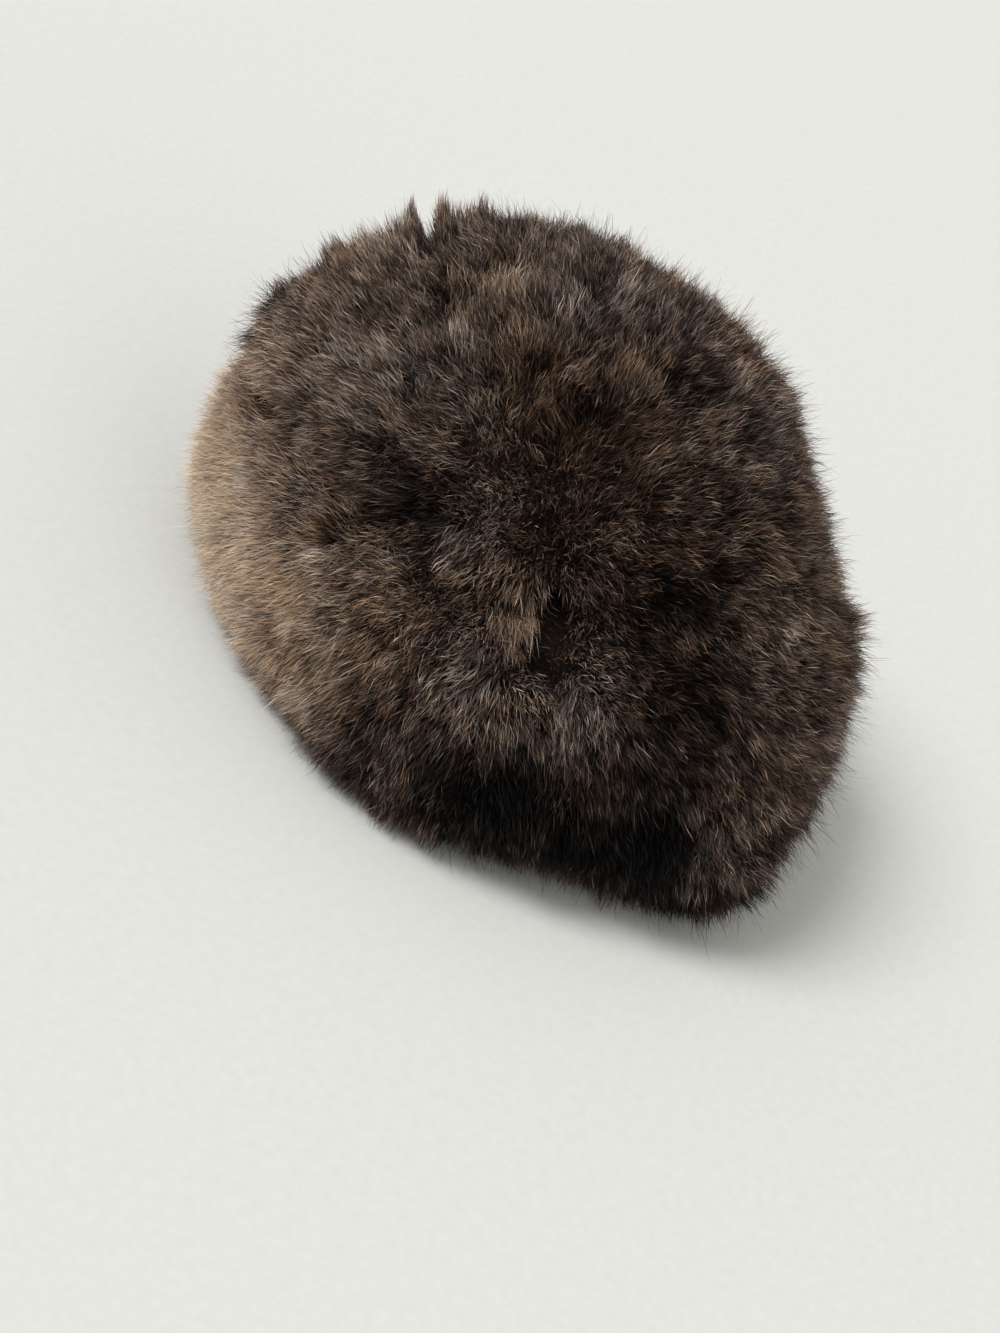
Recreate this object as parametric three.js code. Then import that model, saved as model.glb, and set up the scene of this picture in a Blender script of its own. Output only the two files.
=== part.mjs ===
// A round fur hat: a domed crown sewn on a thick fur band, hollow for the head.
// Millimetres, +Z up. The rim lies on z = 0, the front faces -Y and the wearer's left is +X.
// Each piece is one closed body: a plain inner wall, and outside it a coat of combed fur locks.
import * as THREE from "three";

// Plan of the fullest fur, before the local swells.
const HALF_WIDTH = 118;
const HALF_LENGTH = 137;
const PLAN_SQUARENESS = 2.1;

// Side section: the height of the top and of the fullest fur, the narrower foot, and how square the
// arch above and the roll below are. The top leans to the front.
const HAT_HEIGHT = 164;
const BELLY_HEIGHT = 38;
const FOOT_SHARE = 0.84;
const ARCH_SQUARENESS = 1.9;
const ROLL_SQUARENESS = 2.2;
const TOP_LEAN = -24;

// Seam between band and crown: a plane that climbs to the back, in a shallow groove of the fur.
const SEAM_HEIGHT = 84;
const SEAM_SLOPE = 0.16;
const SEAM_GAP = 0.3;
const GROOVE_DEPTH = 4.5;
const GROOVE_WIDTH = 9;

// The crown's fur puffs out over the seam at the front.
const PUFF = 8;
const PUFF_START = 25;
const PUFF_REACH = 35;

// Hollow for the head: an oval of about 56 cm round at the rim, closing to a dome.
const OPENING_HALF_WIDTH = 79;
const OPENING_HALF_LENGTH = 98;
const HOLLOW_HEIGHT = 130;
const HOLLOW_SQUARENESS = 2.4;
const HOLLOW_LEAN = -12;

// Locks of fur: how many stand side by side round the seam, their relief and their lean.
const LOCKS_ROUND = 72;
const CROWN_RINGS = 12;
const BAND_ROWS = 8;
const TIP_RISE = 1.2;
const TIP_SPREAD = 1.8;
const VALLEY_DEPTH = 4.6;
const LOCK_LEAN = 5;
const EDGE_CLEARANCE = 0.9;

// The fur lies away from a whorl on the left of the crown, and hangs down on the band.
const WHORL = new THREE.Vector3(82, 39, 116);
const HANG = 0.5;

// Swells and hollows of the plan: where round the hat, how wide in degrees, how far out.
const PLAN_SWELLS = [
  { name: "left corner", turn: 35, width: 20, swell: 4.5 },
  { name: "right corner", turn: 145, width: 20, swell: 4.5 },
  { name: "back corner", turn: 92, width: 22, swell: 7 },
  { name: "back left hollow", turn: 62, width: 16, swell: -4.5 },
  { name: "back right hollow", turn: 118, width: 16, swell: -4.5 },
];

// Pushes and dents of the fur: a point near the surface, the size of the spot, and how far out.
const FORMS = [
  { name: "left front foot dip", x: 99, y: -64, z: 9, size: 24, push: -3.3 },
  { name: "front left swell", x: 80, y: -104, z: 31, size: 24, push: 1.7 },
  { name: "front shoulder", x: 74, y: -110, z: 78, size: 24, push: 2.1 },
  { name: "front top dip", x: 39, y: -115, z: 113, size: 24, push: -2.3 },
  { name: "top swell", x: -46, y: -18, z: 153, size: 24, push: 2.2 },
  { name: "right top swell", x: -59, y: 10, z: 143, size: 24, push: 3 },
  { name: "right crown dip", x: -75, y: 48, z: 118, size: 24, push: -6.5 },
  { name: "right band swell", x: -84, y: 87, z: 72, size: 24, push: 2.2 },
  { name: "back corner dip", x: -29, y: 137, z: 28, size: 24, push: -2.8 },
  { name: "back foot swell", x: -4, y: 138, z: 10, size: 24, push: 5.2 },
  { name: "back left foot dip", x: 36, y: 121, z: 4, size: 24, push: -4 },
  { name: "left back foot dip", x: 65, y: 101, z: 4, size: 24, push: -1.9 },
  { name: "left foot swell", x: 101, y: 58, z: 3, size: 24, push: 3.6 },
  { name: "crown parting", x: 48, y: -76, z: 137, size: 14, push: -5 },
  { name: "left seam dent", x: 101, y: 14, z: 93, size: 14, push: -3.5 },
  { name: "seam gap", x: 80, y: 74, z: 88, size: 12, push: -7 },
  { name: "tuft by the gap", x: 94, y: 62, z: 84, size: 12, push: 3 },
  { name: "back left tuft", x: 70, y: 95, z: 75, size: 15, push: 3 },
  { name: "left valley", x: 101, y: 82, z: 38, size: 13, push: -3 },
  { name: "middle valley", x: 81, y: 100, z: 46, size: 14, push: -4 },
  { name: "back valley", x: 48, y: 124, z: 44, size: 14, push: -4 },
];
const FORM_CENTRE = new THREE.Vector3(0, -8, 65);

const FULL_TURN = Math.PI * 2;

// Radius of the oval with the given half sizes, in the direction of an angle.
function ovalRadius(angle, halfWidth, halfLength, squareness) {
  const across = Math.pow(Math.abs(Math.cos(angle) / halfWidth), squareness);
  const along = Math.pow(Math.abs(Math.sin(angle) / halfLength), squareness);
  return Math.pow(across + along, -1 / squareness);
}

// Bell curve of a spot on the plan, 1 at its own turn.
function planBell(angle, turn, width) {
  const away = angle - THREE.MathUtils.degToRad(turn);
  const shortest = Math.atan2(Math.sin(away), Math.cos(away));
  return Math.exp(-((shortest / THREE.MathUtils.degToRad(width)) ** 2));
}

function planRadius(angle) {
  return ovalRadius(angle, HALF_WIDTH, HALF_LENGTH, PLAN_SQUARENESS);
}

function planSwell(angle) {
  let total = 0;
  for (const spot of PLAN_SWELLS) {
    total += spot.swell * planBell(angle, spot.turn, spot.width);
  }
  return total;
}

function seamPlane(y) {
  return SEAM_HEIGHT + SEAM_SLOPE * y;
}

// Moves a point in or out from the middle of the hat by every form near it.
function applyForms(point) {
  const outward = point.clone().sub(FORM_CENTRE).normalize();
  let push = 0;
  for (const form of FORMS) {
    const away = Math.hypot(point.x - form.x, point.y - form.y, point.z - form.z);
    push += form.push * Math.exp(-((away / form.size) ** 2));
  }
  const moved = point.clone().addScaledVector(outward, push);
  moved.z = Math.max(moved.z, 0);
  return moved;
}

// Whole outer form. `climb` runs from -1 at the foot, over 0 at the fullest fur, to 1 at the top.
function hatSurface(angle, climb) {
  const turn = (Math.PI / 2) * Math.abs(climb);
  const square = climb > 0 ? ARCH_SQUARENESS : ROLL_SQUARENESS;
  const upright = Math.pow(Math.sin(turn), 2 / square);
  const level = Math.pow(Math.max(Math.cos(turn), 0), 2 / square);
  const rise = climb > 0 ? upright : 0;
  const height = climb > 0
    ? BELLY_HEIGHT + (HAT_HEIGHT - BELLY_HEIGHT) * upright
    : BELLY_HEIGHT * (1 - upright);
  const share = climb > 0 ? level : FOOT_SHARE + (1 - FOOT_SHARE) * level;
  const fade = climb > 0 ? Math.max(Math.cos(turn), 0) ** 2 : 0.4 + 0.6 * level;
  const fullest = share * planRadius(angle) + planSwell(angle) * fade;
  const aboveSeam = height - seamPlane(fullest * Math.sin(angle) + TOP_LEAN * rise);
  const groove = GROOVE_DEPTH * Math.exp(-((aboveSeam / GROOVE_WIDTH) ** 2));
  const start = Math.pow(Math.max(aboveSeam, 0) / PUFF_START, 0.7);
  const over = start * Math.exp(-((aboveSeam / PUFF_REACH) ** 2));
  const radius = fullest - groove + PUFF * over * (1 - Math.sin(angle)) / 2;
  return new THREE.Vector3(
    radius * Math.cos(angle),
    radius * Math.sin(angle) + TOP_LEAN * rise,
    height,
  );
}

// Climb at which the outer form crosses the seam plane, by halving.
function seamClimb(angle) {
  let low = 0;
  let high = 1;
  for (let pass = 0; pass < 30; pass += 1) {
    const middle = (low + high) / 2;
    const point = hatSurface(angle, middle);
    if (point.z < seamPlane(point.y)) {
      low = middle;
    } else {
      high = middle;
    }
  }
  return low;
}

// Band fur, from the foot at 0 to the seam at 1.
function bandSurface(angle, share) {
  return hatSurface(angle, -1 + share * (seamClimb(angle) + 1));
}

// Crown fur, from the top at 0 to the seam at 1.
function crownSurface(angle, share) {
  return hatSurface(angle, 1 - share * (1 - seamClimb(angle)));
}

// Inner wall at a height: the opening's oval, narrowing to the top of the hollow.
function hollowSurface(angle, height) {
  const climb = Math.min(height / HOLLOW_HEIGHT, 1);
  const share = Math.pow(1 - Math.pow(climb, HOLLOW_SQUARENESS), 1 / HOLLOW_SQUARENESS);
  const radius = share * ovalRadius(angle, OPENING_HALF_WIDTH, OPENING_HALF_LENGTH, 2);
  return new THREE.Vector3(
    radius * Math.cos(angle),
    radius * Math.sin(angle) + HOLLOW_LEAN * climb * climb,
    height,
  );
}

// Inner edge of the seam: where the inner wall meets the seam plane, found by a few corrections.
function hollowSeam(angle, offset) {
  let point = hollowSurface(angle, SEAM_HEIGHT);
  for (let pass = 0; pass < 12; pass += 1) {
    point = hollowSurface(angle, seamPlane(point.y) + offset);
  }
  return point;
}

// Repeatable scatter between -1 and 1 for a lock's row and place.
function scatter(row, place, channel) {
  const wave = Math.sin(row * 12.9898 + place * 78.233 + channel * 37.719) * 43758.5453;
  return 2 * (wave - Math.floor(wave)) - 1;
}

function surfaceNormal(surface, angle, share) {
  const step = 0.01;
  const low = Math.max(share - step, 0.001);
  const high = Math.min(share + step, 0.999);
  const around = surface(angle + step, share).sub(surface(angle - step, share));
  const along = surface(angle, high).sub(surface(angle, low));
  const normal = around.cross(along).normalize();
  const outward = surface(angle, share).sub(FORM_CENTRE);
  return normal.dot(outward) < 0 ? normal.negate() : normal;
}

// Direction in which the fur lies at a point: away from the whorl and a little down, along the skin.
function combDirection(point, normal) {
  const away = point.clone().sub(WHORL).normalize();
  away.z -= HANG;
  away.addScaledVector(normal, -away.dot(normal));
  return away.lengthSq() < 1e-4 ? away.set(0, 0, 0) : away.normalize();
}

// Tip of one lock: raised from the surface by its own height and laid over along the comb.
function lockTip(surface, angle, share, row, place) {
  const normal = surfaceNormal(surface, angle, share);
  const base = applyForms(surface(angle, share));
  const comb = combDirection(base, normal);
  const rise = TIP_RISE + TIP_SPREAD * scatter(row, place, 1);
  const lean = LOCK_LEAN * (0.8 + 0.2 * scatter(row, place, 2));
  return base.addScaledVector(normal, rise).addScaledVector(comb, lean);
}

// Floor of the parting between three locks.
function valleyPoint(surface, angle, share) {
  const normal = surfaceNormal(surface, angle, share);
  return applyForms(surface(angle, share)).addScaledVector(normal, -VALLEY_DEPTH);
}

// Outer edge of the seam, on its plane or a little above or below it.
function seamEdge(angle, offset) {
  const point = crownSurface(angle, 1);
  point.z = seamPlane(point.y) + offset;
  return point;
}

// Keeps a crown point above the seam, and a band point between the seam and the ground.
function keepCrownClear(point) {
  point.z = Math.max(point.z, seamPlane(point.y) + EDGE_CLEARANCE);
  return point;
}

function keepBandClear(point) {
  point.z = Math.min(Math.max(point.z, EDGE_CLEARANCE), seamPlane(point.y) - EDGE_CLEARANCE);
  return point;
}

// Collects points and triangles of one closed body.
class Body {
  constructor() {
    this.points = [];
    this.faces = [];
  }

  add(point) {
    this.points.push(point);
    return this.points.length - 1;
  }

  // Joins two rings of equal count, so that the faces look out when `low` lies below `high`.
  joinRings(low, high) {
    const count = low.length;
    for (let i = 0; i < count; i += 1) {
      const next = (i + 1) % count;
      this.faces.push([low[i], low[next], high[next]], [low[i], high[next], high[i]]);
    }
  }

  mesh(name, material) {
    const geometry = new THREE.BufferGeometry().setFromPoints(this.points);
    geometry.setIndex(this.faces.flat());
    geometry.computeVertexNormals();
    const mesh = new THREE.Mesh(geometry, material);
    mesh.name = name;
    return mesh;
  }
}

// Turns a lattice of triangles into locks: each inner corner is a tip, each triangle's middle is
// a valley, and every lattice edge becomes the two flanks on either side of it.
function addLocks(body, triangles, valleys) {
  const owner = new Map();
  triangles.forEach(([a, b, c], index) => {
    for (const [from, to] of [[a, b], [b, c], [c, a]]) {
      owner.set(`${from}:${to}`, index);
    }
  });
  for (const [key, index] of owner) {
    const [from, to] = key.split(":").map(Number);
    const across = owner.get(`${to}:${from}`);
    if (across === undefined) {
      body.faces.push([from, to, valleys[index]]);
    } else {
      body.faces.push([from, valleys[across], valleys[index]]);
    }
  }
}

// Lattice of rings that grow by six places each, like a honeycomb seen from above.
function discLattice(rings) {
  const places = [{ ring: 0, place: 0, angle: 0, share: 0 }];
  const start = [0];
  for (let ring = 1; ring <= rings; ring += 1) {
    start.push(places.length);
    for (let place = 0; place < ring * 6; place += 1) {
      places.push({ ring, place, angle: (FULL_TURN * place) / (ring * 6), share: ring / rings });
    }
  }
  const triangles = [];
  for (let ring = 1; ring <= rings; ring += 1) {
    const inner = (n) => (ring === 1 ? 0 : start[ring - 1] + (n % ((ring - 1) * 6)));
    const outer = (n) => start[ring] + (n % (ring * 6));
    for (let sector = 0; sector < 6; sector += 1) {
      for (let step = 0; step < ring; step += 1) {
        const near = sector * (ring - 1) + step;
        const far = sector * ring + step;
        triangles.push([inner(near), outer(far), outer(far + 1)]);
        if (step < ring - 1) {
          triangles.push([inner(near), outer(far + 1), inner(near + 1)]);
        }
      }
    }
  }
  return { places, triangles, edge: start[rings] };
}

// Shares of a section that cut its length on the surface into equal steps.
function evenShares(surface, steps) {
  const fine = 240;
  const lengths = [0];
  for (let i = 1; i <= fine; i += 1) {
    const run = surface(0, i / fine).distanceTo(surface(0, (i - 1) / fine));
    lengths.push(lengths[i - 1] + run);
  }
  const shares = [];
  for (let step = 0; step <= steps; step += 1) {
    const goal = (lengths[fine] * step) / steps;
    const above = Math.max(1, lengths.findIndex((length) => length >= goal - 1e-9));
    const part = (goal - lengths[above - 1]) / (lengths[above] - lengths[above - 1]);
    shares.push((above - 1 + part) / fine);
  }
  return shares;
}

// Angle half way between three, measured the short way round.
function meanAngle(angles) {
  const east = angles.reduce((sum, angle) => sum + Math.cos(angle), 0);
  const north = angles.reduce((sum, angle) => sum + Math.sin(angle), 0);
  return Math.atan2(north, east);
}

function makeCrown(material) {
  const body = new Body();
  const lattice = discLattice(CROWN_RINGS);
  const shares = evenShares(crownSurface, CROWN_RINGS);
  const lift = SEAM_GAP / 2;
  const onEdge = (index) => index >= lattice.edge;
  const tipShare = (place) => shares[place.ring];

  const outer = lattice.places.map((place, index) => {
    const share = tipShare(place);
    if (onEdge(index)) {
      return body.add(seamEdge(place.angle, lift));
    }
    return body.add(keepCrownClear(lockTip(crownSurface, place.angle, share, place.ring, place.place)));
  });
  const valleys = lattice.triangles.map((corners) => {
    const spots = corners.map((corner) => lattice.places[corner]);
    const turning = spots.filter((spot) => spot.ring > 0);
    const share = spots.reduce((sum, spot) => sum + tipShare(spot), 0) / 3;
    const angle = meanAngle(turning.map((spot) => spot.angle));
    return body.add(keepCrownClear(valleyPoint(crownSurface, angle, share)));
  });
  addLocks(body, lattice.triangles.map((corners) => corners.map((corner) => outer[corner])), valleys);

  const inner = lattice.places.map((place) => {
    const seam = hollowSeam(place.angle, lift).z;
    const height = seam + (HOLLOW_HEIGHT - seam) * Math.sin((Math.PI / 2) * (1 - place.share));
    return body.add(hollowSurface(place.angle, height));
  });
  for (const [a, b, c] of lattice.triangles) {
    body.faces.push([inner[a], inner[c], inner[b]]);
  }
  body.joinRings(inner.slice(lattice.edge), outer.slice(lattice.edge));
  return body.mesh("crown", material);
}

function makeBand(material) {
  const body = new Body();
  const shares = evenShares(bandSurface, BAND_ROWS);
  const drop = SEAM_GAP / 2;
  const angleAt = (row, place) => (FULL_TURN * (place + (row % 2) / 2)) / LOCKS_ROUND;

  const rows = shares.map((share, row) => {
    const ring = [];
    for (let place = 0; place < LOCKS_ROUND; place += 1) {
      const angle = angleAt(row, place);
      if (row === 0) {
        ring.push(body.add(bandSurface(angle, 0)));
      } else if (row === BAND_ROWS) {
        ring.push(body.add(seamEdge(angle, -drop)));
      } else {
        ring.push(body.add(keepBandClear(lockTip(bandSurface, angle, share, row + 20, place))));
      }
    }
    return ring;
  });
  const triangles = [];
  const valleys = [];
  const addTriangle = (corners) => {
    const share = corners.reduce((sum, [row]) => sum + shares[row], 0) / 3;
    const angle = meanAngle(corners.map(([row, place]) => angleAt(row, place)));
    valleys.push(body.add(keepBandClear(valleyPoint(bandSurface, angle, share))));
    triangles.push(corners.map(([row, place]) => rows[row][place % LOCKS_ROUND]));
  };
  for (let row = 0; row < BAND_ROWS; row += 1) {
    for (let place = 0; place < LOCKS_ROUND; place += 1) {
      if (row % 2 === 0) {
        addTriangle([[row, place], [row, place + 1], [row + 1, place]]);
        addTriangle([[row, place + 1], [row + 1, place + 1], [row + 1, place]]);
      } else {
        addTriangle([[row, place], [row, place + 1], [row + 1, place + 1]]);
        addTriangle([[row, place], [row + 1, place + 1], [row + 1, place]]);
      }
    }
  }
  addLocks(body, triangles, valleys);

  const wallRows = 4;
  const wall = [];
  for (let step = 0; step <= wallRows; step += 1) {
    const ring = [];
    for (let place = 0; place < LOCKS_ROUND; place += 1) {
      const angle = angleAt(0, place);
      const top = hollowSeam(angle, -drop).z;
      ring.push(body.add(hollowSurface(angle, (top * step) / wallRows)));
    }
    wall.push(ring);
  }
  for (let step = 0; step < wallRows; step += 1) {
    body.joinRings(wall[step + 1], wall[step]);
  }
  body.joinRings(wall[0], rows[0]);
  body.joinRings(rows[BAND_ROWS], wall[wallRows]);
  return body.mesh("band", material);
}

function furMaterial(colour) {
  return new THREE.MeshStandardMaterial({ color: colour, roughness: 0.85, metalness: 0 });
}

const crown = makeCrown(furMaterial(0x4a3d35));
const band = makeBand(furMaterial(0x3a302b));

// The origin is under the middle of the whole hat, on the plane that it rests on.
const hat = new THREE.Group();
hat.add(crown, band);
const box = new THREE.Box3().setFromObject(hat);
hat.position.set(-(box.min.x + box.max.x) / 2, -(box.min.y + box.max.y) / 2, -box.min.z);

export default hat;
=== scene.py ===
# %% [markdown]
# # A round fur hat, set down on its rim
# The hat is a domed crown of plush dark fur on a thick fur band, pale fawn at the front. Its solids
# give the true outer form in coarse locks. Here each solid is dressed with what the real one has:
# a pelt, and on it hundreds of thousands of hairs that lie over in locks.

# %% Load the frame
import math

import bmesh
import bpy
import numpy as np
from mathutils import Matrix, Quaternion, Vector


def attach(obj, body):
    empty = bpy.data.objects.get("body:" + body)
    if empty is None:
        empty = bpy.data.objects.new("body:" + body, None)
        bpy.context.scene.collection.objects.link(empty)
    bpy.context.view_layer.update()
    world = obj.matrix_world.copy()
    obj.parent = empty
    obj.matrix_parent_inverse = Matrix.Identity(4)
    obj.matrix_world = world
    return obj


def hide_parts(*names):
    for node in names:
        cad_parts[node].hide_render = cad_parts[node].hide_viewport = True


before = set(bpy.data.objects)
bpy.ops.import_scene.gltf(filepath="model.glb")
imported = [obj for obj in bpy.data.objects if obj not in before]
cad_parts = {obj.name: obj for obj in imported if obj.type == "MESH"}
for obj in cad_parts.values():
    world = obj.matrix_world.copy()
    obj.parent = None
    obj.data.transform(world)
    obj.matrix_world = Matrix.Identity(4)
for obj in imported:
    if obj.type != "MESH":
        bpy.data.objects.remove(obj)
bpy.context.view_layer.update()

# %% [markdown]
# ## The form of the hat
# A milliner shapes the pelts over a block, so the outside is one smooth rounded form. It could be
# sculpted, but a formula keeps it exact: the plan is an oval with a few swells, and the side section
# is an arch above the fullest fur and a roll below it. The same named sizes shaped the solids, so
# the fur sits where they are. All sizes in this part are millimetres.

# %% Sizes of the hat
MM = 0.001
HALF_WIDTH = 118.0
HALF_LENGTH = 137.0
PLAN_SQUARENESS = 2.1
HAT_HEIGHT = 164.0
BELLY_HEIGHT = 38.0
FOOT_SHARE = 0.84
ARCH_SQUARENESS = 1.9
ROLL_SQUARENESS = 2.2
TOP_LEAN = -24.0
SEAM_HEIGHT = 84.0
SEAM_SLOPE = 0.16
GROOVE_DEPTH = 4.5
GROOVE_WIDTH = 9.0
PUFF = 8.0
PUFF_START = 25.0
PUFF_REACH = 35.0
PUFF_ROUNDING = 0.7
FOOT_SWELL = 0.4
OPENING_HALF_WIDTH = 79.0
OPENING_HALF_LENGTH = 98.0
HOLLOW_HEIGHT = 130.0
HOLLOW_SQUARENESS = 2.4
HOLLOW_LEAN = -12.0

# The frame's origin is under the middle of the whole hat, and the plan's centre lies this far from it.
PLAN_CENTRE = np.array([0.0, -1.3, 0.0])

# Turn in degrees from the wearer's left towards the back, width in degrees, swell in millimetres.
PLAN_SWELLS = np.array([
    (35, 20, 4.5),
    (145, 20, 4.5),
    (92, 22, 7.0),
    (62, 16, -4.5),
    (118, 16, -4.5),
])

# A point near the surface, the size of the spot, and how far it pushes the fur out.
FORMS = np.array([
    (99, -64, 9, 24, -3.3),
    (80, -104, 31, 24, 1.7),
    (74, -110, 78, 24, 2.1),
    (39, -115, 113, 24, -2.3),
    (-46, -18, 153, 24, 2.2),
    (-59, 10, 143, 24, 3.0),
    (-75, 48, 118, 24, -6.5),
    (-84, 87, 72, 24, 2.2),
    (-29, 137, 28, 24, -2.8),
    (-4, 138, 10, 24, 5.2),
    (36, 121, 4, 24, -4.0),
    (65, 101, 4, 24, -1.9),
    (101, 58, 3, 24, 3.6),
    (48, -76, 137, 14, -5.0),
    (101, 14, 93, 14, -3.5),
    (80, 74, 88, 12, -7.0),
    (94, 62, 84, 12, 3.0),
    (70, 95, 75, 15, 3.0),
    (101, 82, 38, 13, -3.0),
    (81, 100, 46, 14, -4.0),
    (48, 124, 44, 14, -4.0),
])
# The middle of the hat, from which the forms push.
FORM_CENTRE = np.array([0.0, -8.0, 65.0])
# Step of both parameters, and limits of the climb, for measuring which way the surface faces.
NORMAL_STEP = 0.012
NORMAL_CLIMBS = (-0.98, 0.985)
print("swells:", len(PLAN_SWELLS), "forms:", len(FORMS))


# %% The outer form as a function of two parameters
def oval_radius(angle, half_width, half_length, squareness):
    """Radius of a superellipse. Cosine and sine are divided by the half sizes and raised to a power, and
    the radius is one over the root of their sum."""
    across = np.abs(np.cos(angle) / half_width) ** squareness
    along = np.abs(np.sin(angle) / half_length) ** squareness
    return (across + along) ** (-1.0 / squareness)


def plan_swell(angle):
    """Sum of bell curves round the plan, each at its own turn."""
    away = np.asarray(angle)[..., None] - np.radians(PLAN_SWELLS[:, 0])
    away = np.arctan2(np.sin(away), np.cos(away))
    return (PLAN_SWELLS[:, 2] * np.exp(-(away / np.radians(PLAN_SWELLS[:, 1])) ** 2)).sum(-1)


def seam_plane(y):
    """Height of the seam between band and crown: a plane that climbs to the back."""
    return SEAM_HEIGHT + SEAM_SLOPE * y


def fur_surface(angle, climb):
    """Point of the outer form. The climb runs from -1 at the foot, over 0 at the fullest fur, to 1 at
    the top. Level and upright are a superellipse's cosine and sine of it. The radius is the plan's
    times the level, less the groove at the seam, plus the puff above it, which is strongest at the
    front. Then every form pushes the point in or out from the middle of the hat."""
    angle, climb = np.broadcast_arrays(np.asarray(angle, float), np.asarray(climb, float))
    upper = climb > 0
    turn = np.pi / 2 * np.abs(climb)
    power = 2.0 / np.where(upper, ARCH_SQUARENESS, ROLL_SQUARENESS)
    upright = np.sin(turn) ** power
    level = np.maximum(np.cos(turn), 0.0) ** power
    rise = np.where(upper, upright, 0.0)
    height = np.where(upper, BELLY_HEIGHT + (HAT_HEIGHT - BELLY_HEIGHT) * upright,
                      BELLY_HEIGHT * (1.0 - upright))
    share = np.where(upper, level, FOOT_SHARE + (1.0 - FOOT_SHARE) * level)
    fade = np.where(upper, np.maximum(np.cos(turn), 0.0) ** 2, FOOT_SWELL + (1.0 - FOOT_SWELL) * level)
    plan = oval_radius(angle, HALF_WIDTH, HALF_LENGTH, PLAN_SQUARENESS)
    fullest = share * plan + plan_swell(angle) * fade
    above = height - seam_plane(fullest * np.sin(angle) + TOP_LEAN * rise)
    groove = GROOVE_DEPTH * np.exp(-(above / GROOVE_WIDTH) ** 2)
    over = (np.maximum(above, 0.0) / PUFF_START) ** PUFF_ROUNDING * np.exp(-(above / PUFF_REACH) ** 2)
    radius = fullest - groove + PUFF * over * (1.0 - np.sin(angle)) / 2.0
    point = np.stack([radius * np.cos(angle), radius * np.sin(angle) + TOP_LEAN * rise, height], -1)
    return push_forms(point)


def push_forms(point):
    """Moves points away from the middle of the hat by the sum of each form's bell curve of distance."""
    outward = point - FORM_CENTRE
    outward /= np.linalg.norm(outward, axis=-1, keepdims=True)
    push = np.zeros(point.shape[:-1])
    for x, y, z, size, amount in FORMS:
        away = ((point - (x, y, z)) ** 2).sum(-1)
        push += amount * np.exp(-away / size ** 2)
    moved = point + outward * push[..., None]
    moved[..., 2] = np.maximum(moved[..., 2], 0.0)
    return moved


def unit(vectors):
    """The vectors over their own lengths."""
    return vectors / np.maximum(np.linalg.norm(vectors, axis=-1, keepdims=True), 1e-9)


def fur_normal(angle, climb):
    """Outward direction: the cross product of the steps round and up the form."""
    climb = np.clip(climb, *NORMAL_CLIMBS)
    around = fur_surface(angle + NORMAL_STEP, climb) - fur_surface(angle - NORMAL_STEP, climb)
    along = fur_surface(angle, climb + NORMAL_STEP) - fur_surface(angle, climb - NORMAL_STEP)
    return unit(np.cross(around, along))


def hollow_surface(angle, height):
    """Inner wall at a height: the opening's oval times a superellipse's share of what is left above."""
    climb = np.clip(height / HOLLOW_HEIGHT, 0.0, 1.0)
    share = (1.0 - climb ** HOLLOW_SQUARENESS) ** (1.0 / HOLLOW_SQUARENESS)
    radius = share * oval_radius(angle, OPENING_HALF_WIDTH, OPENING_HALF_LENGTH, 2.0)
    return np.stack([radius * np.cos(angle), radius * np.sin(angle) + HOLLOW_LEAN * climb ** 2,
                     height + 0.0 * radius], -1)


GRID_TURNS = 97
GRID_CLIMBS = 401
grid_angle, grid_climb = np.meshgrid(np.linspace(0, 2 * np.pi, GRID_TURNS), np.linspace(-1, 1, GRID_CLIMBS))
grid_points = fur_surface(grid_angle, grid_climb)
print("outer form, mm:", grid_points.min((0, 1)).round(1), grid_points.max((0, 1)).round(1))

# %% [markdown]
# ## Small helpers for meshes and materials
# Arrays go into a mesh in one call each, which is fast enough for a million triangles. A node is
# added by one function that takes its settings and what its sockets hold or are linked to.


# %% Helpers
def triangle_mesh(name, points, triangles, material, uv=None):
    """One smooth-shaded object from points in millimetres and rows of three corner numbers."""
    mesh = bpy.data.meshes.new(name)
    mesh.vertices.add(len(points))
    placed = (points + PLAN_CENTRE) * MM
    mesh.vertices.foreach_set("co", placed.astype(np.float32).ravel())
    mesh.loops.add(triangles.size)
    mesh.loops.foreach_set("vertex_index", triangles.astype(np.int32).ravel())
    mesh.polygons.add(len(triangles))
    mesh.polygons.foreach_set("loop_start", np.arange(0, triangles.size, 3, dtype=np.int32))
    mesh.polygons.foreach_set("use_smooth", np.ones(len(triangles), bool))
    if uv is not None:
        layer = mesh.uv_layers.new(name="OFBake")
        layer.data.foreach_set("uv", uv[triangles.ravel()].astype(np.float32).ravel())
    mesh.update(calc_edges=True)
    mesh.materials.append(material)
    piece = bpy.data.objects.new(name, mesh)
    bpy.context.scene.collection.objects.link(piece)
    return piece


def linear(hex_colour):
    """An sRGB hex colour as linear red, green, blue and alpha."""
    parts = [int(hex_colour[i:i + 2], 16) / 255 for i in (1, 3, 5)]
    return [v / 12.92 if v <= 0.04045 else ((v + 0.055) / 1.055) ** 2.4 for v in parts] + [1.0]


def add_node(tree, kind, sockets=None, **settings):
    """Adds a node. Settings are its properties, sockets holds values or sockets to link from."""
    node = tree.nodes.new(kind)
    for name, value in settings.items():
        setattr(node, name, value)
    for key, value in (sockets or {}).items():
        if isinstance(value, bpy.types.NodeSocket):
            tree.links.new(value, node.inputs[key])
        else:
            node.inputs[key].default_value = value
    return node


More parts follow.
